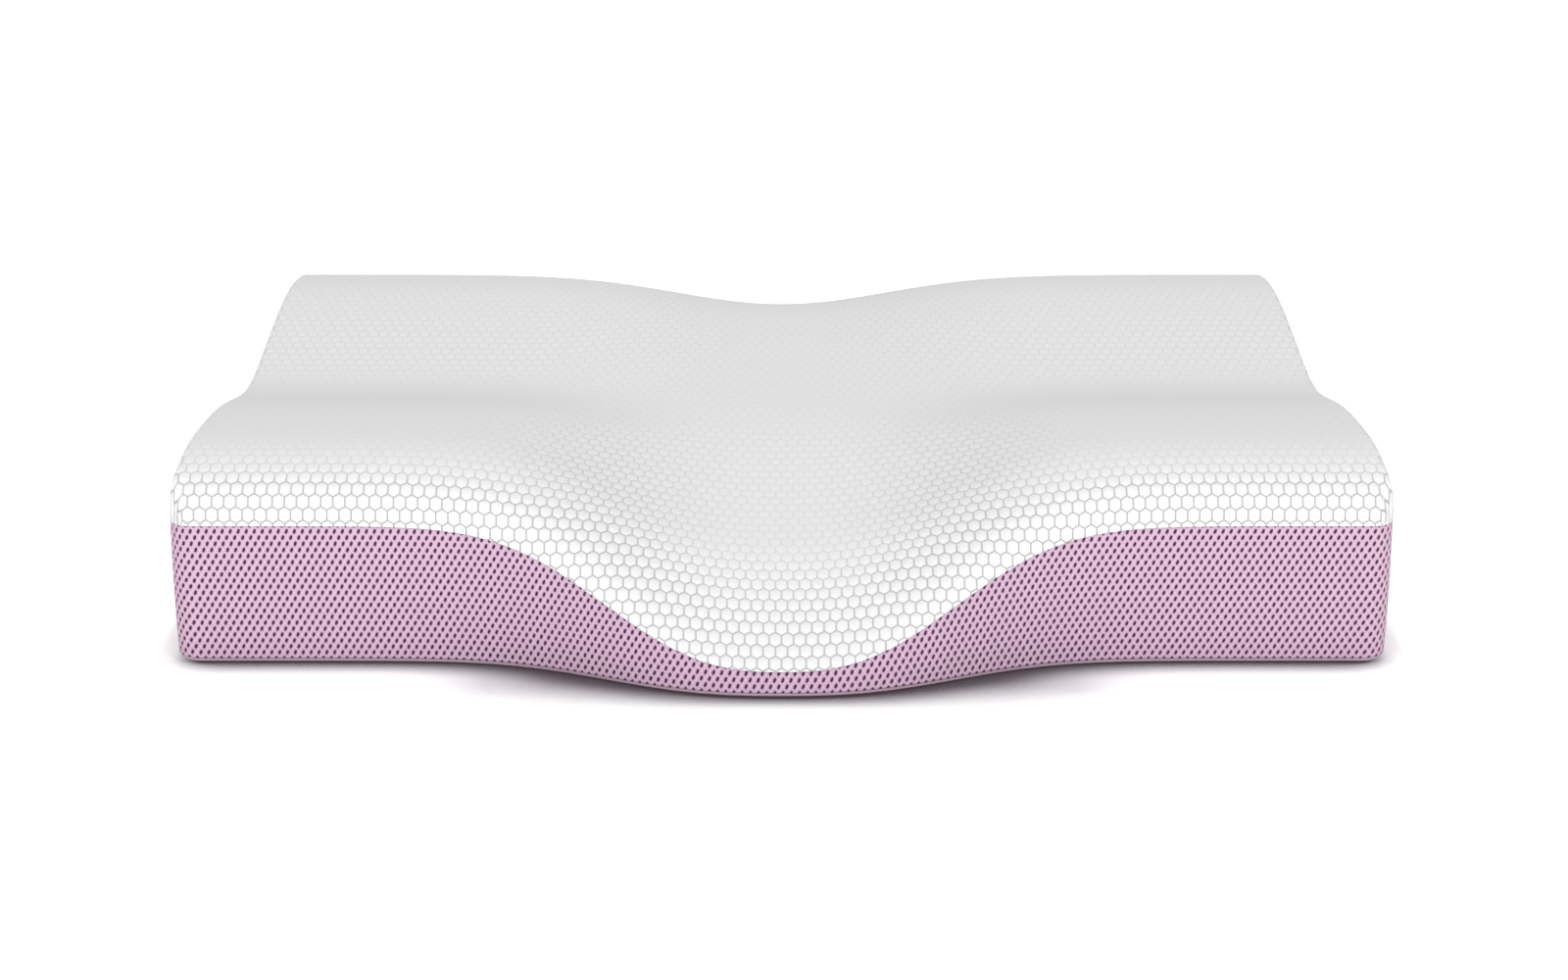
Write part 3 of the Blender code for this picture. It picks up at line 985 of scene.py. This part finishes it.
def add_softbox(name, place, power):
    data = bpy.data.lights.new(name, "AREA")
    data.shape = "RECTANGLE"
    data.size, data.size_y = SOFTBOX_SIZE
    data.energy = power
    light = bpy.data.objects.new(name, data)
    light.location = place
    light.rotation_euler = (Vector(SOFTBOX_TARGET) - Vector(place)).to_track_quat("-Z", "Y").to_euler()
    bpy.context.scene.collection.objects.link(light)


def add_light():
    """A bright sky, dimmer to the left and right, and a softbox in front and behind."""
    world = bpy.data.worlds.new("studio")
    world.use_nodes = True
    nodes, links = world.node_tree.nodes, world.node_tree.links
    sky = nodes["Background"]
    towards = nodes.new("ShaderNodeTexCoord")
    apart = nodes.new("ShaderNodeSeparateXYZ")
    links.new(towards.outputs["Generated"], apart.inputs[0])
    side = add_ramp(nodes, links, add_math(nodes, links, "ABSOLUTE", apart.outputs["X"]), 0.45, 0.95)
    links.new(add_mix(nodes, links, side, (1.0, 1.0, 1.0), SKY_SIDE), sky.inputs["Color"])
    sky.inputs["Strength"].default_value = SKY_STRENGTH
    bpy.context.scene.world = world
    add_softbox("front_softbox", FRONT_PLACE, FRONT_POWER)
    add_softbox("back_softbox", BACK_PLACE, BACK_POWER)


def add_camera():
    data = bpy.data.cameras.new("camera")
    data.sensor_width = SENSOR_WIDTH
    data.lens = LENS
    data.shift_x = CAMERA_SHIFT
    camera = bpy.data.objects.new("camera", data)
    camera.location = CAMERA_PLACE
    camera.rotation_euler = (np.radians(CAMERA_TILT), 0.0, 0.0)
    bpy.context.scene.collection.objects.link(camera)
    bpy.context.scene.camera = camera
    bpy.context.scene.view_settings.view_transform = "Standard"


def main():
    form = Form(top_points())
    wall = Wall(border(form.points))
    tree = lattice_tree()
    stitches = stitch_group()
    knit = knit_material(stitches)
    open_mesh = mesh_material(stitches)
    lining = plain_material("lining", stitches, LINING_LOW, LINING_HIGH, LINING_STITCH)
    mauve = plain_material("mauve cloth", stitches, MAUVE_LOW, MAUVE_HIGH, MAUVE_STITCH)

    cushion = knit_cushion(form, wall, tree, knit, lining)
    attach(cushion, "root")
    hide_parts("cushion")

    band = mesh_band(wall, tree, open_mesh)
    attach(band, "root")
    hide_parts("side_band")

    for slot in bpy.data.objects["base_panel"].material_slots:
        slot.material = mauve

    add_stage()
    add_light()
    add_camera()


main()
